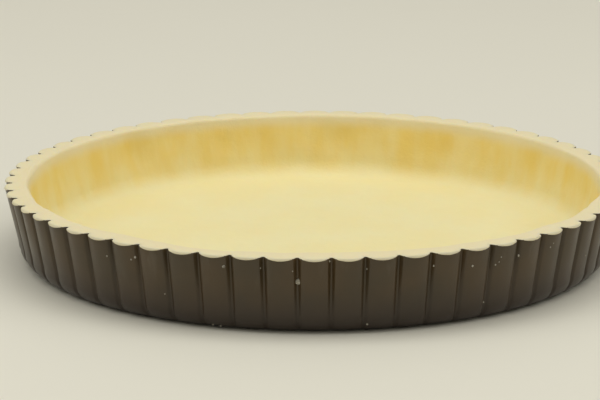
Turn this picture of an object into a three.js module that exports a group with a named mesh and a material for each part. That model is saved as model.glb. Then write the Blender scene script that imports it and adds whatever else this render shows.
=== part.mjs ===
// Fluted tart pan with a loose base, lined with an unbaked shortcrust case.
// Millimetres, +Z up. The origin is the centre of the underside, on the surface the pan stands on.
// One flute crest faces -Y, and the same 60 flutes run round the pan and the outside of the pastry.
import * as THREE from 'three';

// Driving dimensions of the pan
const HEIGHT = 29.5;
const RIM_RADIUS = 119;          // over the flute crests, at the rim
const FOOT_RADIUS = 114.2;       // over the flute crests, where the wall meets the bottom corner
const FLUTES = 60;
const RIM_DEPTH = 2.8;           // crest to groove of a flute, at the rim
const FOOT_DEPTH = 1.3;          // crest to groove of a flute, at the foot of the wall
const CORNER_RADIUS = 8.5;       // outside of the bottom corner, where the flutes run out
const SHEET = 0.8;               // thickness of the pressed steel
const LEDGE_RADIUS = 101.5;      // inner edge of the ledge that carries the loose base
const BASE_RADIUS = 106;
const BASE_EDGE = 0.25;          // rounding of the loose base's edge
const FIT_GAP = 0.3;             // clearance between pieces that rest on each other

// Driving dimensions of the pastry
const DOUGH_FLOOR = 3.3;         // thickness of the rolled dough on the base
const DOUGH_RIM_RADIUS = 110;    // inner face of the dough, level with the rim
const DOUGH_SLOPE = 3.5;         // how far the inner face leans in, from the rim to the fillet
const DOUGH_FILLET = 8;          // pressed fillet between the dough's wall and floor

const CORNER_CENTRE_RADIUS = FOOT_RADIUS - CORNER_RADIUS;
const BASE_BOTTOM = SHEET + FIT_GAP;
const BASE_TOP = BASE_BOTTOM + SHEET;
const DOUGH_BOTTOM = BASE_TOP + FIT_GAP;
const DOUGH_TOP = DOUGH_BOTTOM + DOUGH_FLOOR;
const DRAFT = Math.atan2(RIM_RADIUS - FOOT_RADIUS, HEIGHT - CORNER_RADIUS);

// Half a flute, from its crest outwards: fraction of the half pitch, fraction of the depth.
// The crest is broad and the groove narrow, each with a flat facet across its middle.
const HALF_FLUTE = [[0.32, 0], [0.65, 0.26], [0.87, 1]];
const FLUTE = [...HALF_FLUTE.map(([across, down]) => [-across, down]).reverse(), ...HALF_FLUTE];
const COLUMNS = FLUTES * FLUTE.length;
const BASE_SEGMENTS = 96;

const COATED_STEEL = { color: 0x413830, roughness: 0.55, metalness: 0.3 };
const RAW_DOUGH = { color: 0xe6d79b, roughness: 0.75, metalness: 0 };

// One corner of a flute's outline in plan, moved inwards by `inset` at right angles to the sheet.
// Returns its angle from the flute's crest line and its radius.
function fluteCorner(index, crestRadius, depth, inset) {
  const halfPitch = Math.PI * crestRadius / FLUTES;
  const corner = (i) => {
    const flute = Math.floor(i / FLUTE.length);
    const [across, down] = FLUTE[i - flute * FLUTE.length];
    return new THREE.Vector2((across + 2 * flute) * halfPitch, -down * depth);
  };
  const point = corner(index);
  const arriving = point.clone().sub(corner(index - 1)).normalize();
  const leaving = corner(index + 1).sub(point).normalize();
  const along = arriving.add(leaving);
  const mitre = new THREE.Vector2(along.y, -along.x).multiplyScalar(2 * inset / along.lengthSq());
  point.add(mitre);
  return { angle: point.x / crestRadius, radius: crestRadius + point.y };
}

// A lathed shape whose wall is pressed into flutes. Each profile point gives the crest radius, the
// height, the flute depth there (0 where the shape is round) and the inset from the outer outline.
function flutedLathe(profile) {
  const turned = profile.map(({ radius, z }) => new THREE.Vector2(radius, z));
  const geometry = new THREE.LatheGeometry(turned, COLUMNS);
  const position = geometry.attributes.position;
  for (let i = 0; i < position.count; i++) {
    const { radius, z, depth = 0, inset = 0 } = profile[i % profile.length];
    const column = Math.floor(i / profile.length);
    const flute = Math.floor(column / FLUTE.length);
    if (radius === 0) {
      position.setXYZ(i, 0, 0, z);
      continue;
    }
    const corner = fluteCorner(column % FLUTE.length, radius, depth, inset);
    const turn = flute * 2 * Math.PI / FLUTES + corner.angle;
    position.setXYZ(i, corner.radius * Math.sin(turn), -corner.radius * Math.cos(turn), z);
  }
  splitFacetsOutwards(geometry);
  geometry.computeVertexNormals();
  return geometry;
}

// Splits each twisted wall facet along the diagonal that stands further out, so that the walls of
// nested pieces split alike and keep their gap.
function splitFacetsOutwards(geometry) {
  const { index, attributes: { position } } = geometry;
  const reach = (vertex) => Math.hypot(position.getX(vertex), position.getY(vertex));
  const triangles = [];
  for (let i = 0; i < index.count; i += 6) {
    const [a, b, d, c] = [0, 1, 2, 3].map((k) => index.getX(i + k));
    if (reach(a) + reach(c) > reach(b) + reach(d)) {
      triangles.push(a, b, c, c, d, a);
    } else {
      triangles.push(a, b, d, c, d, b);
    }
  }
  geometry.setIndex(triangles);
}

// A point on the rounded bottom corner, `inside` the outer surface by that much.
// `degrees` is 0 at the flat underside and 90 where the wall begins.
function cornerPoint(degrees, inside) {
  const turn = THREE.MathUtils.degToRad(degrees);
  return {
    radius: CORNER_CENTRE_RADIUS + CORNER_RADIUS * Math.sin(turn),
    z: CORNER_RADIUS - (CORNER_RADIUS - inside) * Math.cos(turn),
    depth: FOOT_DEPTH * Math.sin(turn),
    inset: inside * Math.sin(turn),
  };
}

function mesh(name, geometry, finish) {
  const piece = new THREE.Mesh(geometry, new THREE.MeshStandardMaterial(finish));
  piece.name = name;
  return piece;
}

// The pressed ring: fluted wall, rounded bottom corner and the flat ledge for the loose base.
function flutedRing() {
  const wallInset = SHEET / Math.cos(DRAFT);
  const foot = { radius: FOOT_RADIUS, z: CORNER_RADIUS, depth: FOOT_DEPTH };
  const rim = { radius: RIM_RADIUS, z: HEIGHT, depth: RIM_DEPTH };
  const profile = [
    { radius: LEDGE_RADIUS, z: 0 },
    cornerPoint(0, 0),
    cornerPoint(30, 0),
    cornerPoint(60, 0),
    foot,
    rim,
    { ...rim, inset: wallInset },
    { ...foot, inset: wallInset },
    cornerPoint(60, SHEET),
    cornerPoint(30, SHEET),
    cornerPoint(0, SHEET),
    { radius: LEDGE_RADIUS, z: SHEET },
    { radius: LEDGE_RADIUS, z: 0 },
  ];
  return mesh('fluted_ring', flutedLathe(profile), COATED_STEEL);
}

// The loose base: a flat disc that lies on the ring's ledge and pushes up out of it.
function looseBase() {
  const profile = [
    [0, BASE_BOTTOM],
    [BASE_RADIUS - BASE_EDGE, BASE_BOTTOM],
    [BASE_RADIUS, BASE_BOTTOM + BASE_EDGE],
    [BASE_RADIUS, BASE_TOP - BASE_EDGE],
    [BASE_RADIUS - BASE_EDGE, BASE_TOP],
    [0, BASE_TOP],
  ].map(([radius, z]) => new THREE.Vector2(radius, z));
  const disc = mesh('loose_base', new THREE.LatheGeometry(profile, BASE_SEGMENTS), COATED_STEEL);
  disc.rotation.x = Math.PI / 2;
  return disc;
}

// The pastry case: one rolled sheet of dough, pressed into the flutes outside and smooth inside,
// trimmed level with the rim.
function pastryCase() {
  const wallInset = (SHEET + FIT_GAP) / Math.cos(DRAFT);
  const underside = THREE.MathUtils.radToDeg(
    Math.acos(1 - (DOUGH_BOTTOM - BASE_BOTTOM) / (CORNER_RADIUS - BASE_BOTTOM)));
  const filletTopRadius = DOUGH_RIM_RADIUS - DOUGH_SLOPE;
  const fillet = [0, 30, 60, 90].map((degrees) => {
    const turn = THREE.MathUtils.degToRad(degrees);
    return {
      radius: filletTopRadius - DOUGH_FILLET * (1 - Math.cos(turn)),
      z: DOUGH_TOP + DOUGH_FILLET * (1 - Math.sin(turn)),
    };
  });
  const profile = [
    { radius: 0, z: DOUGH_BOTTOM },
    { ...cornerPoint(underside, BASE_BOTTOM), z: DOUGH_BOTTOM },
    cornerPoint(60, BASE_BOTTOM),
    { radius: FOOT_RADIUS, z: CORNER_RADIUS, depth: FOOT_DEPTH, inset: wallInset },
    { radius: RIM_RADIUS, z: HEIGHT, depth: RIM_DEPTH, inset: wallInset },
    { radius: DOUGH_RIM_RADIUS, z: HEIGHT },
    ...fillet,
    { radius: 0, z: DOUGH_TOP },
  ];
  return mesh('pastry_case', flutedLathe(profile), RAW_DOUGH);
}

const tartPan = new THREE.Group();
tartPan.add(flutedRing(), looseBase(), pastryCase());

export default tartPan;
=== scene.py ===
"""A fluted tart pan lined with raw shortcrust pastry, standing on a pale worktop.

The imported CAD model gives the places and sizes. Each piece here is the fine version of one CAD node:
the pressed ring, its loose base and the pastry case. Crumbs of dough stick to the ring. Metres, +Z up.
"""

import math
import random

import bmesh
import bpy
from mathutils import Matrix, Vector


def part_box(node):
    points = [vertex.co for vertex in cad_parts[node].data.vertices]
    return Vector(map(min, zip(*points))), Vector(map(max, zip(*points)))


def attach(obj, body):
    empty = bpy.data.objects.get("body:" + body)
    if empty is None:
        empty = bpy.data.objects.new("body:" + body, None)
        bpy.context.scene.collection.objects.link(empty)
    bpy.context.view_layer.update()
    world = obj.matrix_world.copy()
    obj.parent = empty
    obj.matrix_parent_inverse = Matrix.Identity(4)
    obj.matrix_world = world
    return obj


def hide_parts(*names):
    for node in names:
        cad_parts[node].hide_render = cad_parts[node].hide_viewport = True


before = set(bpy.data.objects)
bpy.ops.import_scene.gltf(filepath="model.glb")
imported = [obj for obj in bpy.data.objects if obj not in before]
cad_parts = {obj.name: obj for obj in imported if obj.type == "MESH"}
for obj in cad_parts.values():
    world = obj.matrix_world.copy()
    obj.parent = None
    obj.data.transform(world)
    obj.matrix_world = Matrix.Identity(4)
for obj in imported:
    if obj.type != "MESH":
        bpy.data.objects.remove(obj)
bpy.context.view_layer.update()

MM = 0.001
_, RING_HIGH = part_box("fluted_ring")
_, BASE_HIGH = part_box("loose_base")
CASE_LOW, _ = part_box("pastry_case")

# The pressed ring
RIM_RADIUS = RING_HIGH.x
RIM_HEIGHT = RING_HIGH.z
FOOT_RADIUS = RIM_RADIUS - 4.8 * MM
CORNER_RADIUS = 8.5 * MM
LEDGE_RADIUS = BASE_HIGH.x - 4.5 * MM
SHEET = 0.8 * MM
WALL_ROWS = 7
CUT_BAND = 0.6 * MM             # points this near the rim belong to its cut edge
RING_EDGE = 0.14 * MM

# Its flutes: a broad crest arc, a tight shoulder, a straight flank and a tight groove
FLUTES = 60
RIM_DEPTH = 3 * MM
FOOT_DEPTH = 1.2 * MM
CREST_ANGLE = math.radians(22)
FLANK_ANGLE = math.radians(64)
SHOULDER_BEND = 1 * MM
GROOVE_BEND = 0.6 * MM
CREST_STEPS = 5
SHOULDER_STEPS = 2
GROOVE_STEPS = 3

# The loose base
REST_GAP = 0.03 * MM
BASE_RADIUS = BASE_HIGH.x
BASE_BOTTOM = SHEET + REST_GAP
BASE_TOP = BASE_BOTTOM + SHEET
BASE_SIDES = 240
BASE_EDGE = 0.2 * MM

# The pastry
DOUGH_BOTTOM = BASE_TOP + REST_GAP
DOUGH_FLOOR = CASE_LOW.z + 3.3 * MM
DOUGH_RIM_RADIUS = 110 * MM
DOUGH_WALL_LEAN = 3.5 * MM
DOUGH_FILLET = 7.5 * MM
DOUGH_EDGE = 1.4 * MM
DOUGH_TOP = RIM_HEIGHT + 0.35 * MM
DOUGH_COLUMNS = 360
LIP_OVERHANG = 0.25 * MM
LIP_DROOP = 0.75 * MM
LIP_REACH = 0.41                # half the droop's width over a crest, as a share of the pitch
LIP_GROOVE_RISE = 0.3           # how much of the lip's rise is left over a groove
LIP_INNER_BAND = 3 * MM
FLOOR_MIDDLE = 48 * MM          # inside this radius the floor has a third as many columns
FLOOR_SEAM = 3 * MM
FLOOR_RINGS = 16
MIDDLE_RINGS = 14


# ---------------------------------------------------------------- modelling helpers

def open_piece(piece):
    """Opens one piece for editing, with nothing on it selected."""
    bpy.ops.object.select_all(action="DESELECT")
    bpy.context.view_layer.objects.active = piece
    piece.select_set(True)
    bpy.ops.object.mode_set(mode="EDIT")
    bpy.ops.mesh.select_mode(type="VERT")
    bpy.ops.mesh.select_all(action="DESELECT")


def close_piece():
    bpy.ops.object.mode_set(mode="OBJECT")
    bpy.ops.object.select_all(action="DESELECT")


def choose(piece, test):
    """Selects the points that pass the test, and the edges and faces between them."""
    mesh = bmesh.from_edit_mesh(piece.data)
    for point in mesh.verts:
        point.select = test(point)
    mesh.select_flush_mode()
    bmesh.update_edit_mesh(piece.data, loop_triangles=False, destructive=False)


def reach(point):
    """A point's distance from the pan's axis."""
    return math.hypot(point.co.x, point.co.y)


def new_piece(name):
    """Names the object that was just added, and gives its mesh the same name."""
    piece = bpy.context.active_object
    piece.name = name
    piece.data.name = name
    return piece


def copy_piece(piece, name):
    twin = piece.copy()
    twin.data = piece.data.copy()
    twin.name = name
    twin.data.name = name
    bpy.context.scene.collection.objects.link(twin)
    return twin


def apply_modifier(piece, kind, **settings):
    """Adds one modifier with these settings and applies it."""
    bpy.ops.object.select_all(action="DESELECT")
    bpy.context.view_layer.objects.active = piece
    piece.select_set(True)
    modifier = piece.modifiers.new(kind.lower(), kind)
    for key, value in settings.items():
        setattr(modifier, key, value)
    bpy.ops.object.modifier_apply(modifier=modifier.name)


def settle(piece, angle=40):
    """Puts the piece's place into its mesh, and smooths it between its sharp edges."""
    bpy.ops.object.select_all(action="DESELECT")
    bpy.context.view_layer.objects.active = piece
    piece.select_set(True)
    bpy.ops.object.transform_apply(location=True, rotation=True, scale=True)
    bpy.ops.object.shade_smooth_by_angle(angle=math.radians(angle))
    piece.select_set(False)


def face_outwards(piece):
    """Merges points that coincide, and turns all faces the same way, outwards."""
    open_piece(piece)
    bpy.ops.mesh.select_all(action="SELECT")
    bpy.ops.mesh.remove_doubles(threshold=0.001 * MM)
    bpy.ops.mesh.normals_make_consistent(inside=False)
    close_piece()


# ---------------------------------------------------------------- the flute's outline

def flute_outline():
    """Half a flute in plan at the rim, from crest to groove: (share of the pitch, share of the depth)."""
    half_pitch = math.pi * RIM_RADIUS / FLUTES
    crest, flank = CREST_ANGLE, FLANK_ANGLE
    # What the crest arc and the flank have to span between them, across and down
    across = (half_pitch - SHOULDER_BEND * (math.sin(flank) - math.sin(crest))
              - GROOVE_BEND * math.sin(flank))
    down = (RIM_DEPTH - SHOULDER_BEND * (math.cos(crest) - math.cos(flank))
            - GROOVE_BEND * (1 - math.cos(flank)))
    spread = math.sin(crest) * math.sin(flank) - math.cos(flank) * (1 - math.cos(crest))
    crest_bend = (across * math.sin(flank) - down * math.cos(flank)) / spread
    points = []
    for step in range(CREST_STEPS + 1):
        turn = crest * step / CREST_STEPS
        points.append((crest_bend * math.sin(turn), crest_bend * (1 - math.cos(turn))))
    crest_end = points[-1]
    for step in range(1, SHOULDER_STEPS + 1):
        turn = crest + (flank - crest) * step / SHOULDER_STEPS
        points.append((crest_end[0] + SHOULDER_BEND * (math.sin(turn) - math.sin(crest)),
                       crest_end[1] + SHOULDER_BEND * (math.cos(crest) - math.cos(turn))))
    for step in range(GROOVE_STEPS, -1, -1):
        turn = flank * step / GROOVE_STEPS
        points.append((half_pitch - GROOVE_BEND * math.sin(turn),
                       RIM_DEPTH - GROOVE_BEND * (1 - math.cos(turn))))
    return [(across / (2 * half_pitch), drop / RIM_DEPTH) for across, drop in points]


OUTLINE = flute_outline()
COLUMNS = 2 * (len(OUTLINE) - 1)


def outline_drop(share):
    """How far the outline lies below its crest, as a share of the depth, at a share of the pitch."""
    for (left, high), (right, low) in zip(OUTLINE, OUTLINE[1:]):
        if share <= right:
            return high + (low - high) * (share - left) / (right - left)
    return 1


def pitch_share(point):
    """Where a point lies across its flute: 0 at the crest, 0.5 and -0.5 in the grooves."""
    turn = math.atan2(point.co.x, -point.co.y) * FLUTES / (2 * math.pi)
    return turn - round(turn)


def space_columns(piece):
    """Turns the evenly spaced points of the first loop to the outline's own spacing."""
    mesh = bmesh.from_edit_mesh(piece.data)
    columns = {}
    for point in mesh.verts:
        columns.setdefault(round(pitch_share(point) * COLUMNS), set()).add(point.index)
    for column, members in columns.items():
        share = math.copysign(OUTLINE[abs(column)][0], column)
        turn = (share - column / COLUMNS) * 2 * math.pi / FLUTES
        choose(piece, lambda point: point.index in members)
        # Without a window this operator turns the other way round.
        bpy.ops.transform.rotate(value=-turn, orient_axis="Z", center_override=(0, 0, 0))
    bpy.ops.mesh.select_all(action="SELECT")


def shape_loop(piece, place):
    """Moves each point of the selected loop to place(share of the pitch) = (radius, height).

    Points that lie alike on their flutes move together.
    """
    mesh = bmesh.from_edit_mesh(piece.data)
    groups = {}
    for point in mesh.verts:
        if point.select:
            share = abs(pitch_share(point))
            groups.setdefault(round(share, 4), []).append((point.index, share, reach(point), point.co.z))
    for members in groups.values():
        _, share, radius, height = members[0]
        new_radius, new_height = place(share)
        numbers = {number for number, *_ in members}
        choose(piece, lambda point: point.index in numbers)
        factor = new_radius / radius
        bpy.ops.transform.resize(value=(factor, factor, 1), center_override=(0, 0, 0))
        bpy.ops.transform.translate(value=(0, 0, new_height - height))
    numbers = {number for members in groups.values() for number, *_ in members}
    choose(piece, lambda point: point.index in numbers)


def extrude_loop(piece, place):
    """Extrudes the selected loop and moves the new one to its place."""
    bpy.ops.mesh.extrude_edges_move()
    bmesh.from_edit_mesh(piece.data).verts.index_update()
    shape_loop(piece, place)


# ---------------------------------------------------------------- the ring

def fluted_place(radius, height, depth):
    """The place function of a fluted loop with this crest radius, height and flute depth."""
    return lambda share: (radius - depth * outline_drop(share), height)


def corner_place(turn):
    """A loop on the bottom corner: turn 90 is the wall, 0 the flat underside."""
    angle = math.radians(turn)
    return fluted_place(FOOT_RADIUS - CORNER_RADIUS * (1 - math.sin(angle)),
                        CORNER_RADIUS * (1 - math.cos(angle)),
                        FOOT_DEPTH * math.sin(angle))


def wall_place(share):
    """A loop on the wall: share 1 is the rim, 0 the foot. The flutes grow shallower downwards."""
    return fluted_place(FOOT_RADIUS + (RIM_RADIUS - FOOT_RADIUS) * share,
                        CORNER_RADIUS + (RIM_HEIGHT - CORNER_RADIUS) * share,
                        FOOT_DEPTH + (RIM_DEPTH - FOOT_DEPTH) * share)


def press_sheet():
    """The outer face of the ring, as one open sheet: wall, corner and ledge."""
    bpy.ops.object.select_all(action="DESELECT")
    bpy.ops.mesh.primitive_circle_add(vertices=FLUTES * COLUMNS, radius=RIM_RADIUS,
                                      location=(0, 0, RIM_HEIGHT))
    sheet = new_piece("sheet")
    bpy.ops.object.transform_apply(location=True, rotation=True, scale=True)
    open_piece(sheet)
    space_columns(sheet)
    shape_loop(sheet, wall_place(1))
    places = [wall_place(step / WALL_ROWS) for step in range(WALL_ROWS - 1, -1, -1)]
    places += [corner_place(turn) for turn in (75, 60, 45, 30, 15, 0)]
    places += [fluted_place(LEDGE_RADIUS, 0, 0)]
    for place in places:
        extrude_loop(sheet, place)
    close_piece()
    face_outwards(sheet)
    return sheet


def make_ring(sheet):
    """The ring: the sheet at its thickness, with a level cut rim and softened cut edges."""
    ring = copy_piece(sheet, "fluted_ring_shell")
    apply_modifier(ring, "SOLIDIFY", thickness=SHEET, offset=-1, use_even_offset=True)
    open_piece(ring)
    choose(ring, lambda point: point.co.z > RIM_HEIGHT - CUT_BAND)
    bpy.ops.transform.resize(value=(1, 1, 0), center_override=(0, 0, RIM_HEIGHT))
    close_piece()
    apply_modifier(ring, "BEVEL", width=RING_EDGE, segments=2, limit_method="ANGLE",
                   angle_limit=math.radians(62))
    settle(ring)
    return ring


# ---------------------------------------------------------------- the loose base

def make_base():
    """The loose base: a flat disc with softened edges, rolled from the same sheet as the ring."""
    bpy.ops.object.select_all(action="DESELECT")
    bpy.ops.mesh.primitive_cylinder_add(vertices=BASE_SIDES, radius=BASE_RADIUS, depth=SHEET,
                                        location=(0, 0, (BASE_BOTTOM + BASE_TOP) / 2))
    base = new_piece("loose_base_plate")
    bpy.ops.object.transform_apply(location=True, rotation=True, scale=True)
    open_piece(base)
    bpy.ops.mesh.select_mode(type="FACE")
    for _ in range(2):
        mesh = bmesh.from_edit_mesh(base.data)
        for face in mesh.faces:
            face.select = len(face.verts) > 4
        bmesh.update_edit_mesh(base.data)
        bpy.ops.mesh.inset(thickness=BASE_RADIUS * 0.3, depth=0)
    close_piece()
    apply_modifier(base, "BEVEL", width=BASE_EDGE, segments=3, limit_method="ANGLE",
                   angle_limit=math.radians(60))
    settle(base)
    return base


# ---------------------------------------------------------------- the pastry

def lip_places():
    """The loops of the pastry's lip, from the sheet's inner face outwards over the rim and back in.

    Trimming leaves the dough flush with the outside of the rim. Over the crests it droops a little.
    """
    def lip(reach_share, droop_share, rise):
        def place(share):
            fullness = max(0, 1 - (share / LIP_REACH) ** 2)
            inner_face = RIM_RADIUS - SHEET - 2 * REST_GAP - RIM_DEPTH * outline_drop(share)
            out = SHEET + LIP_OVERHANG * fullness
            rise_here = rise * (LIP_GROOVE_RISE + (1 - LIP_GROOVE_RISE) * fullness)
            droop = droop_share * LIP_DROOP * fullness
            return inner_face + reach_share * out, RIM_HEIGHT + rise_here - droop
        return place

    return [lip(0.72, 0, 0.03 * MM), lip(1, 1, 0.04 * MM), lip(0.98, 0.72, 0.1 * MM),
            lip(0.87, 0.38, 0.2 * MM), lip(0.55, 0.1, 0.28 * MM), lip(-0.3, 0, 0.34 * MM),
            lambda _: (DOUGH_RIM_RADIUS + LIP_INNER_BAND, DOUGH_TOP)]


def bowl_places():
    """The smooth inside of the pastry, from its cut edge down to the floor: (radius, height)."""
    places = []
    for turn in (15, 35, 60, 90):
        angle = math.radians(turn)
        places.append((DOUGH_RIM_RADIUS + DOUGH_EDGE * (1 - math.sin(angle)),
                       DOUGH_TOP - DOUGH_EDGE * (1 - math.cos(angle))))
    fillet_radius = DOUGH_RIM_RADIUS - DOUGH_WALL_LEAN
    fillet_top = DOUGH_FLOOR + DOUGH_FILLET
    wall_top = places[-1]
    for step in range(1, 8):
        share = step / 8
        places.append((wall_top[0] + (fillet_radius - wall_top[0]) * share,
                       wall_top[1] + (fillet_top - wall_top[1]) * share))
    for step in range(8):
        angle = math.radians(step * 90 / 7)
        places.append((fillet_radius - DOUGH_FILLET * (1 - math.cos(angle)),
                       fillet_top - DOUGH_FILLET * math.sin(angle)))
    return places


def extrude_to(piece, radius, z):
    """Extrudes the selected round loop to another radius and height."""
    mesh = bmesh.from_edit_mesh(piece.data)
    point = next(p for p in mesh.verts if p.select)
    factor, rise = radius / reach(point), z - point.co.z
    bpy.ops.mesh.extrude_edges_move(TRANSFORM_OT_translate={"value": (0, 0, rise)})
    bpy.ops.transform.resize(value=(factor, factor, 1), center_override=(0, 0, 0))


def roll_bowl(piece):
    """Adds the inside of the pastry to the piece in edit mode, as a bowl closed at the middle."""
    bpy.ops.mesh.primitive_circle_add(vertices=DOUGH_COLUMNS, radius=DOUGH_RIM_RADIUS + DOUGH_EDGE,
                                      location=(0, 0, DOUGH_TOP))
    for radius, z in bowl_places():
        extrude_to(piece, radius, z)
    floor_edge = bowl_places()[-1][0]
    for step in range(1, FLOOR_RINGS + 1):
        extrude_to(piece, floor_edge + (FLOOR_MIDDLE - floor_edge) * step / FLOOR_RINGS, DOUGH_FLOOR)
    bpy.ops.mesh.select_all(action="DESELECT")
    bpy.ops.mesh.primitive_circle_add(vertices=DOUGH_COLUMNS // 3, radius=FLOOR_MIDDLE - FLOOR_SEAM,
                                      location=(0, 0, DOUGH_FLOOR))
    for step in range(1, MIDDLE_RINGS + 1):
        extrude_to(piece, (FLOOR_MIDDLE - FLOOR_SEAM) * (1 - step / (MIDDLE_RINGS + 1)), DOUGH_FLOOR)
    bpy.ops.mesh.extrude_edges_move()
    bpy.ops.mesh.merge(type="CENTER")
    choose(piece, lambda point: abs(point.co.z - DOUGH_FLOOR) < 0.01 * MM
           and FLOOR_MIDDLE - FLOOR_SEAM - 0.5 * MM < reach(point) < FLOOR_MIDDLE + 0.5 * MM)
    bpy.ops.mesh.select_mode(type="EDGE")
    bpy.ops.mesh.bridge_edge_loops()
    bpy.ops.mesh.select_mode(type="VERT")


# Where a thumb pressed the wall: turn from the near crest in degrees, height, width and depth in mm
THUMB_MARKS = [(-138, 19, 14, 2.6), (-160, 18, 9, 0.8), (176, 18, 10, 0.9), (150, 17, 9, 0.8),
               (124, 17, 13, 1.1), (100, 16, 9, 0.8), (-104, 17, 10, 0.9), (-75, 18, 9, 0.8),
               (60, 18, 10, 0.8), (20, 17, 9, 0.7), (-35, 18, 10, 0.8)]


def press_thumbs(case):
    """Pushes the wall outwards at each thumb mark, fading smoothly to the dough around it."""
    open_piece(case)
    mesh = bmesh.from_edit_mesh(case.data)
    for turn, height, width, depth in THUMB_MARKS:
        angle = math.radians(turn)
        out = Vector((math.sin(angle), -math.cos(angle), 0))
        spot = out * (DOUGH_RIM_RADIUS - 0.5 * DOUGH_WALL_LEAN) + Vector((0, 0, height * MM))
        nearest = min(mesh.verts, key=lambda point: (point.co - spot).length).index
        choose(case, lambda point: point.index == nearest)
        bpy.ops.transform.translate(value=out * depth * MM, use_proportional_edit=True,
                                    use_proportional_connected=True, proportional_size=width * MM,
                                    proportional_edit_falloff="SMOOTH")
    close_piece()


def press_by_hand(case):
    """The unevenness of hand-pressed dough: slow swells over the inside, finger marks on the wall."""
    press_thumbs(case)
    inside = case.vertex_groups.new(name="inside")
    wall = case.vertex_groups.new(name="wall")
    for point in case.data.vertices:
        radius = math.hypot(point.co.x, point.co.y)
        on_floor = point.co.z < DOUGH_FLOOR + 0.1 * MM
        if radius < DOUGH_RIM_RADIUS + 2 * DOUGH_EDGE and point.co.z > DOUGH_FLOOR - 0.1 * MM:
            inside.add([point.index], 0.3 if on_floor else 1.0, "REPLACE")
            up = (point.co.z - DOUGH_FLOOR) / (DOUGH_TOP - DOUGH_FLOOR)
            wall.add([point.index], min(1, max(0, 4 * up * (1.15 - up))), "REPLACE")
    for name, size, strength, group in (("slow swells", 26 * MM, 1.5 * MM, "inside"),
                                        ("finger marks", 11 * MM, 0.9 * MM, "wall"),
                                        ("small dents", 4 * MM, 0.22 * MM, "inside")):
        clouds = bpy.data.textures.new(name, "CLOUDS")
        clouds.noise_scale = size
        clouds.noise_depth = 1
        apply_modifier(case, "DISPLACE", texture=clouds, texture_coords="LOCAL", strength=strength,
                       mid_level=0.5, vertex_group=group)


def make_pastry(sheet):
    """The pastry case: the sheet's inner face outside, the rolled bowl inside, the cut edge on top."""
    case = copy_piece(sheet, "pastry_lining")
    open_piece(case)
    bpy.ops.mesh.select_all(action="SELECT")
    bpy.ops.mesh.bisect(plane_co=(0, 0, DOUGH_BOTTOM), plane_no=(0, 0, 1), clear_inner=True)
    close_piece()
    apply_modifier(case, "DISPLACE", strength=-(SHEET + 2 * REST_GAP), mid_level=0)
    open_piece(case)
    # The underside, level on the base
    lowest = min(point.co.z for point in bmesh.from_edit_mesh(case.data).verts)
    choose(case, lambda point: point.co.z < lowest + 0.4 * MM)
    bpy.ops.transform.resize(value=(1, 1, 0), center_override=(0, 0, DOUGH_BOTTOM))
    for share in (0.97, 0.6, 0.25):
        bpy.ops.mesh.extrude_edges_move()
        bpy.ops.transform.resize(value=(share, share, 1), center_override=(0, 0, 0))
    bpy.ops.mesh.extrude_edges_move()
    bpy.ops.mesh.merge(type="CENTER")
    # The top of the wall and the lip over the rim
    choose(case, lambda point: point.co.z > RIM_HEIGHT - CUT_BAND)
    bpy.ops.transform.resize(value=(1, 1, 0), center_override=(0, 0, RIM_HEIGHT))
    for place in lip_places():
        extrude_loop(case, place)
    bpy.ops.mesh.select_all(action="DESELECT")
    roll_bowl(case)
    choose(case, lambda point: abs(point.co.z - DOUGH_TOP) < 0.01 * MM)
    bpy.ops.mesh.select_mode(type="EDGE")
    bpy.ops.mesh.bridge_edge_loops()
    bpy.ops.mesh.select_mode(type="VERT")
    close_piece()
    face_outwards(case)
    press_by_hand(case)
    settle(case, angle=50)
    return case


# ---------------------------------------------------------------- crumbs

# Crumbs of dough stuck to the outside: turn from the near crest in degrees, height and size in mm.
# Most turns and heights were worked out by a separate program and rounded. The sizes were set one by
# one.
STUCK_CRUMBS = [(-2.8, 20.4, 2.5), (-16, 25.5, 1.1), (-9.5, 25.5, 0.7), (-3.8, 24.8, 0.5), (9.3, 25, 0.8),
                (9.7, 3.5, 0.8), (-19.3, 1.5, 0.8), (-17.8, 1.2, 0.9), (-40, 23, 0.8), (-33.6, 24.7, 1),
                (-34.3, 23.7, 0.7), (39.5, 23.4, 0.9), (28.9, 23, 0.9), (34, 21.8, 0.8), (34.6, 22.8, 0.6),
                (34.9, 24.6, 0.5), (21.5, 24.6, 0.7), (32.7, 7.4, 0.7), (2.6, 28.4, 0.8), (47, 24, 0.7),
                (47.6, 25.3, 0.6), (-28, 12, 0.4)]
SCATTERED_CRUMBS = 46


def outer_face(turn, height):
    """The radius of the ring's outer face at a turn in degrees and a height."""
    share = abs((turn * FLUTES / 360 + 0.5) % 1 - 0.5)
    if height > CORNER_RADIUS:
        radius, _ = wall_place((height - CORNER_RADIUS) / (RIM_HEIGHT - CORNER_RADIUS))(share)
    else:
        angle = math.degrees(math.acos(1 - height / CORNER_RADIUS))
        radius, _ = corner_place(angle)(share)
    return radius


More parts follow.
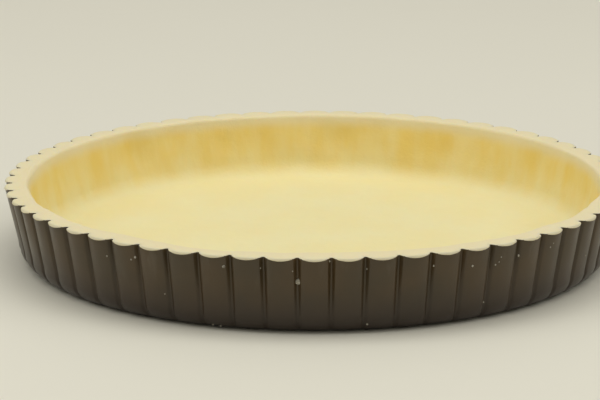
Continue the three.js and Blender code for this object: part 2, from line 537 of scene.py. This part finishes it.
def make_crumbs(dice):
    """Crumbs of dough that stick to the outside of the ring, as one piece of many small lumps."""
    crumbs = [(turn, height * MM, size * MM) for turn, height, size in STUCK_CRUMBS]
    for _ in range(SCATTERED_CRUMBS):
        crumbs.append((dice.uniform(55, 305), dice.uniform(3, 28) * MM,
                       dice.triangular(0.25, 0.9, 0.35) * MM))
    bpy.ops.object.select_all(action="DESELECT")
    bpy.ops.mesh.primitive_ico_sphere_add(subdivisions=2, radius=1, location=(0, 0, 0))
    lump = new_piece("lump")
    open_piece(lump)
    bpy.ops.mesh.select_all(action="SELECT")
    bpy.ops.transform.vertex_random(offset=0.22, seed=4)
    close_piece()
    copies = []
    for turn, height, size in crumbs:
        crumb = copy_piece(lump, "crumb")
        angle = math.radians(turn)
        radius = outer_face(turn, height) + 0.05 * size
        crumb.location = (radius * math.sin(angle), -radius * math.cos(angle), height)
        crumb.rotation_euler = (0, dice.uniform(0, 6.28), angle)
        crumb.scale = (size / 2 * dice.uniform(0.8, 1.1), size / 2 * 0.5, size / 2 * dice.uniform(0.9, 1.2))
        copies.append(crumb)
    bpy.data.objects.remove(lump)
    bpy.ops.object.select_all(action="DESELECT")
    for crumb in copies:
        crumb.select_set(True)
    bpy.context.view_layer.objects.active = copies[0]
    bpy.ops.object.join()
    piece = new_piece("stuck_crumbs")
    settle(piece, angle=70)
    return piece


# ---------------------------------------------------------------- node helpers

def group_tree(name, inputs, outputs):
    """A new shader node group with these sockets: (name, kind, value) in, (name, kind) out."""
    tree = bpy.data.node_groups.new(name, "ShaderNodeTree")
    for label, kind, value in inputs:
        socket = tree.interface.new_socket(label, in_out="INPUT", socket_type="NodeSocket" + kind)
        if value is not None:
            socket.default_value = value
    for label, kind in outputs:
        tree.interface.new_socket(label, in_out="OUTPUT", socket_type="NodeSocket" + kind)
    return tree, tree.nodes.new("NodeGroupInput"), tree.nodes.new("NodeGroupOutput")


def node(tree, kind, inputs=None, **settings):
    """Adds a node, sets its properties, and fills its inputs with links or plain values."""
    made = tree.nodes.new("ShaderNode" + kind)
    for key, value in settings.items():
        setattr(made, key, value)
    for key, value in (inputs or {}).items():
        if isinstance(value, bpy.types.NodeSocket):
            tree.links.new(value, made.inputs[key])
        else:
            made.inputs[key].default_value = value
    return made


def math_node(tree, operation, *values):
    made = node(tree, "Math", operation=operation)
    for number, value in enumerate(values):
        if isinstance(value, bpy.types.NodeSocket):
            tree.links.new(value, made.inputs[number])
        else:
            made.inputs[number].default_value = value
    return made.outputs[0]


def ramp(tree, value, low, high):
    """0 below low, 1 above high, and a smooth rise between. Low may be the larger."""
    return node(tree, "MapRange", {"Value": value, "From Min": low, "From Max": high},
                interpolation_type="SMOOTHSTEP", clamp=True).outputs[0]


def blend(tree, factor, first, second):
    """A colour between two colours."""
    made = node(tree, "Mix", data_type="RGBA")
    for key, value in ((0, factor), (6, first), (7, second)):
        if isinstance(value, bpy.types.NodeSocket):
            tree.links.new(value, made.inputs[key])
        else:
            made.inputs[key].default_value = value
    return made.outputs[2]


def noise(tree, vector, size, detail=2.0, roughness=0.5):
    """Noise whose features are about `size` metres across."""
    made = node(tree, "TexNoise", {"Vector": vector, "Scale": 1 / size, "Detail": detail,
                                   "Roughness": roughness})
    return made.outputs["Fac"]


def colour(red, green, blue):
    return (red, green, blue, 1)


# ---------------------------------------------------------------- shared effects

def make_pan_places():
    """Where a point is on the pan: distance from the axis, height, and its place spread on the rim."""
    tree, start, end = group_tree("pan places", [("Vector", "Vector", None)],
                                  [("Radius", "Float"), ("Height", "Float"), ("Wrapped", "Vector")])
    parts = node(tree, "SeparateXYZ", {0: start.outputs["Vector"]})
    x, y, z = parts.outputs
    squares = math_node(tree, "ADD", math_node(tree, "MULTIPLY", x, x), math_node(tree, "MULTIPLY", y, y))
    radius = math_node(tree, "SQRT", squares)
    outwards = math_node(tree, "DIVIDE", RIM_RADIUS, math_node(tree, "MAXIMUM", radius, MM))
    wrapped = node(tree, "CombineXYZ", {0: math_node(tree, "MULTIPLY", x, outwards),
                                        1: math_node(tree, "MULTIPLY", y, outwards), 2: z})
    tree.links.new(radius, end.inputs["Radius"])
    tree.links.new(z, end.inputs["Height"])
    tree.links.new(wrapped.outputs[0], end.inputs["Wrapped"])
    return tree


def make_grain():
    """Fine surface grain: a height from 0 to 1, and a mask of scattered specks."""
    tree, start, end = group_tree(
        "fine grain",
        [("Vector", "Vector", None), ("Grain Size", "Float", 0.5 * MM), ("Speck Size", "Float", 2 * MM),
         ("Speck Share", "Float", 0.2)],
        [("Height", "Float"), ("Specks", "Float")])
    frequency = math_node(tree, "DIVIDE", 1, start.outputs["Grain Size"])
    grain = node(tree, "TexNoise", {"Vector": start.outputs["Vector"], "Scale": frequency,
                                    "Detail": 3.0, "Roughness": 0.6})
    speck_frequency = math_node(tree, "DIVIDE", 1, start.outputs["Speck Size"])
    cells = node(tree, "TexVoronoi", {"Vector": start.outputs["Vector"], "Scale": speck_frequency},
                 feature="F1")
    size = math_node(tree, "MULTIPLY", start.outputs["Speck Share"], 0.8)
    near = math_node(tree, "SUBTRACT", size, cells.outputs["Distance"])
    specks = ramp(tree, near, 0.0, 0.12)
    tree.links.new(grain.outputs["Fac"], end.inputs["Height"])
    tree.links.new(specks, end.inputs["Specks"])
    return tree


PAN_PLACES = make_pan_places()
GRAIN = make_grain()


def new_material(name):
    """An empty material with its Principled shader: (material, tree, shader, object coordinates)."""
    material = bpy.data.materials.new(name)
    material.use_nodes = True
    tree = material.node_tree
    tree.nodes.clear()
    shader = tree.nodes.new("ShaderNodeBsdfPrincipled")
    output = tree.nodes.new("ShaderNodeOutputMaterial")
    tree.links.new(shader.outputs[0], output.inputs[0])
    place = tree.nodes.new("ShaderNodeTexCoord").outputs["Object"]
    return material, tree, shader, place


def place_group(tree, group, **inputs):
    made = tree.nodes.new("ShaderNodeGroup")
    made.node_tree = group
    for key, value in inputs.items():
        socket = made.inputs[key.replace("_", " ")]
        if isinstance(value, bpy.types.NodeSocket):
            tree.links.new(value, socket)
        else:
            socket.default_value = value
    return made.outputs


def bump(tree, height, distance, strength=1.0, normal=None):
    """Bends the surface's light by a height from 0 to 1, which stands `distance` metres."""
    inputs = {"Height": height, "Distance": distance, "Strength": strength}
    if normal is not None:
        inputs["Normal"] = normal
    return node(tree, "Bump", inputs).outputs[0]


# ---------------------------------------------------------------- finishes

def make_coating():
    """Dark-brown non-stick coating on pressed steel: satin, faintly pebbled, floury in places."""
    material, tree, shader, place = new_material("dark non-stick coating")
    pan = place_group(tree, PAN_PLACES, Vector=place)
    grain = place_group(tree, GRAIN, Vector=place, Grain_Size=0.45 * MM)
    tone = ramp(tree, noise(tree, place, 22 * MM, 3), 0.35, 0.65)
    brown = blend(tree, tone, colour(0.070, 0.044, 0.017), colour(0.057, 0.039, 0.017))
    # A thin bloom of flour, rubbed on in upright smears near the rim
    stretch = node(tree, "Mapping", {"Vector": pan["Wrapped"], "Scale": (1, 1, 0.3)}).outputs[0]
    smears = ramp(tree, noise(tree, stretch, 7 * MM, 4, 0.6), 0.56, 0.74)
    upper = ramp(tree, pan["Height"], 0.35 * RIM_HEIGHT, 0.95 * RIM_HEIGHT)
    bloom = math_node(tree, "MULTIPLY", math_node(tree, "MULTIPLY", smears, upper), 0.07)
    # Painted shade: the coating is painted darker towards the foot, where less light reaches the wall
    foot_shade_fade = ramp(tree, pan["Height"], -2 * MM, 22 * MM)
    brown_with_foot_shade = blend(tree, foot_shade_fade, colour(0.026, 0.017, 0.012), brown)
    dusty = blend(tree, bloom, brown_with_foot_shade, colour(0.36, 0.33, 0.27))
    rim = ramp(tree, pan["Height"], RIM_HEIGHT - 0.35 * MM, RIM_HEIGHT - 0.05 * MM)
    worn = math_node(tree, "MULTIPLY", rim, ramp(tree, noise(tree, place, 2.5 * MM, 3), 0.4, 0.7))
    final = blend(tree, math_node(tree, "MULTIPLY", worn, 0.35), dusty, colour(0.15, 0.125, 0.09))
    tree.links.new(final, shader.inputs["Base Color"])
    smudge = noise(tree, place, 9 * MM, 4, 0.6)
    roughness = node(tree, "MapRange", {"Value": smudge, "From Min": 0.3, "From Max": 0.7,
                                        "To Min": 0.28, "To Max": 0.4}).outputs[0]
    tree.links.new(roughness, shader.inputs["Roughness"])
    shader.inputs["IOR"].default_value = 1.47
    tree.links.new(bump(tree, grain["Height"], 0.03 * MM), shader.inputs["Normal"])
    return material


def make_dough():
    """Raw shortcrust: butter yellow, faintly translucent, paler towards the top edge."""
    material, tree, shader, place = new_material("raw shortcrust dough")
    pan = place_group(tree, PAN_PLACES, Vector=place)
    grain = place_group(tree, GRAIN, Vector=place, Grain_Size=0.9 * MM, Speck_Size=5 * MM,
                        Speck_Share=0.16)
    cloud = ramp(tree, noise(tree, place, 28 * MM, 3), 0.3, 0.7)
    butter = blend(tree, cloud, colour(0.865, 0.785, 0.43), colour(0.865, 0.765, 0.39))
    flecked = blend(tree, math_node(tree, "MULTIPLY", grain["Specks"], 0.2), butter,
                    colour(0.89, 0.83, 0.55))
    # Painted shade and bounce light: the inner wall is painted a deeper gold, more so higher up and in
    # upright patches, for the dimmer light on it and the light thrown between the dough faces
    inner = ramp(tree, pan["Radius"], 102 * MM, 107 * MM)
    outside = ramp(tree, pan["Radius"], 111.5 * MM, 113 * MM)
    wall = math_node(tree, "SUBTRACT", inner, math_node(tree, "MULTIPLY", outside, 0.8))
    upright = node(tree, "Mapping", {"Vector": pan["Wrapped"], "Scale": (1, 1, 0.4)}).outputs[0]
    shade_patches = ramp(tree, noise(tree, upright, 15 * MM, 3, 0.55), 0.30, 0.66)
    height = ramp(tree, pan["Height"], DOUGH_FLOOR + 2 * MM, RIM_HEIGHT - 8 * MM)
    strength = math_node(tree, "ADD", 0.12, math_node(tree, "ADD", math_node(
        tree, "MULTIPLY", shade_patches, 0.38), math_node(tree, "MULTIPLY", height, 0.38)))
    painted_wall_shade = math_node(tree, "MULTIPLY", wall, strength)
    # The deeper gold here is painted shade and bounce light, not the dough's own colour
    body = blend(tree, painted_wall_shade, flecked, colour(0.85, 0.62, 0.14))
    # Paler towards the top, over the cut edge and the top few millimetres of the wall
    cut = ramp(tree, pan["Height"], RIM_HEIGHT - 6 * MM, RIM_HEIGHT - 0.2 * MM)
    final = blend(tree, cut, body, colour(0.82, 0.72, 0.44))
    tree.links.new(final, shader.inputs["Base Color"])
    sheen = noise(tree, place, 12 * MM, 3)
    roughness = node(tree, "MapRange", {"Value": sheen, "From Min": 0.3, "From Max": 0.7,
                                        "To Min": 0.55, "To Max": 0.7}).outputs[0]
    tree.links.new(roughness, shader.inputs["Roughness"])
    shader.inputs["Subsurface Weight"].default_value = 0.25
    shader.inputs["Subsurface Radius"].default_value = (1.0, 0.7, 0.3)
    shader.inputs["Subsurface Scale"].default_value = 2.0 * MM
    shader.inputs["IOR"].default_value = 1.4
    soft = bump(tree, noise(tree, place, 5 * MM, 3, 0.55), 0.25 * MM)
    tree.links.new(bump(tree, grain["Height"], 0.07 * MM, normal=soft), shader.inputs["Normal"])
    return material


def make_crumb_finish():
    """Dried crumbs and dabs of flour: dull and pale, some greyer than others."""
    material, tree, shader, place = new_material("dried crumbs")
    patch = ramp(tree, noise(tree, place, 9 * MM, 2), 0.35, 0.65)
    tone = blend(tree, patch, colour(0.20, 0.185, 0.15), colour(0.42, 0.39, 0.31))
    mottled = blend(tree, ramp(tree, noise(tree, place, 0.8 * MM, 3), 0.4, 0.7), tone,
                    colour(0.52, 0.49, 0.41))
    tree.links.new(mottled, shader.inputs["Base Color"])
    shader.inputs["Roughness"].default_value = 0.85
    tree.links.new(bump(tree, noise(tree, place, 0.5 * MM, 3), 0.08 * MM), shader.inputs["Normal"])
    return material


def make_worktop():
    """The pale worktop the pan stands on."""
    material, tree, shader, place = new_material("pale worktop")
    tone = noise(tree, place, 0.25, 2)
    tree.links.new(blend(tree, tone, colour(0.79, 0.765, 0.645), colour(0.81, 0.785, 0.665)),
                   shader.inputs["Base Color"])
    shader.inputs["Roughness"].default_value = 0.6
    return material


def dress(piece, material, body, cad_node=None):
    """Gives a piece its finish and its body, and hides the CAD node that it stands for, if there is one."""
    piece.data.materials.clear()
    piece.data.materials.append(material)
    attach(piece, body)
    if cad_node:
        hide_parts(cad_node)


coating = make_coating()
dough = make_dough()

dice = random.Random(7)
sheet = press_sheet()
ring = make_ring(sheet)
base = make_base()
pastry = make_pastry(sheet)
crumbs = make_crumbs(dice)
bpy.data.objects.remove(sheet)

dress(ring, coating, "ring", "fluted_ring")
dress(base, coating, "base", "loose_base")
dress(pastry, dough, "pastry", "pastry_case")
dress(crumbs, make_crumb_finish(), "ring")


# ---------------------------------------------------------------- the stage

def add_floor():
    bpy.ops.mesh.primitive_plane_add(size=12, location=(0, 0, 0))
    floor = new_piece("worktop")
    floor.data.materials.append(make_worktop())


def add_softbox(name, place, target, width, height, power):
    """A large soft lamp at a place, aimed at a target."""
    lamp = bpy.data.lights.new(name, "AREA")
    lamp.shape = "RECTANGLE"
    lamp.size = width
    lamp.size_y = height
    lamp.energy = power
    holder = bpy.data.objects.new(name, lamp)
    holder.location = place
    holder.rotation_euler = (Vector(target) - Vector(place)).to_track_quat("-Z", "Y").to_euler()
    bpy.context.scene.collection.objects.link(holder)


def add_light():
    add_softbox("overhead softbox", (0, -0.1, 1.6), (0, 0, 0), 1.8, 1.2, 11.5)
    add_softbox("left softbox", (-1.3, -0.3, 1.1), (0, 0, 0), 1.0, 0.8, 4.5)
    add_softbox("right softbox", (1.3, -0.3, 1.1), (0, 0, 0), 1.0, 0.8, 4.5)
    world = bpy.data.worlds.new("soft room")
    world.use_nodes = True
    background = world.node_tree.nodes["Background"]
    background.inputs["Color"].default_value = (1.0, 0.97, 0.9, 1)
    background.inputs["Strength"].default_value = 0.41
    bpy.context.scene.world = world


def add_camera():
    """A long lens, a little above the rim, as one looks across a tray.

    Its place, tilt and lens were fitted by a separate program and rounded.
    """
    camera = bpy.data.cameras.new("camera")
    camera.lens = 224.3
    camera.sensor_width = 36
    holder = bpy.data.objects.new("camera", camera)
    holder.location = (0, -1.3974, 0.3747)
    holder.rotation_euler = (math.radians(90 - 14.19), 0, 0.0040)
    bpy.context.scene.collection.objects.link(holder)
    bpy.context.scene.camera = holder


add_floor()
add_light()
add_camera()
bpy.context.scene.view_settings.view_transform = "Standard"
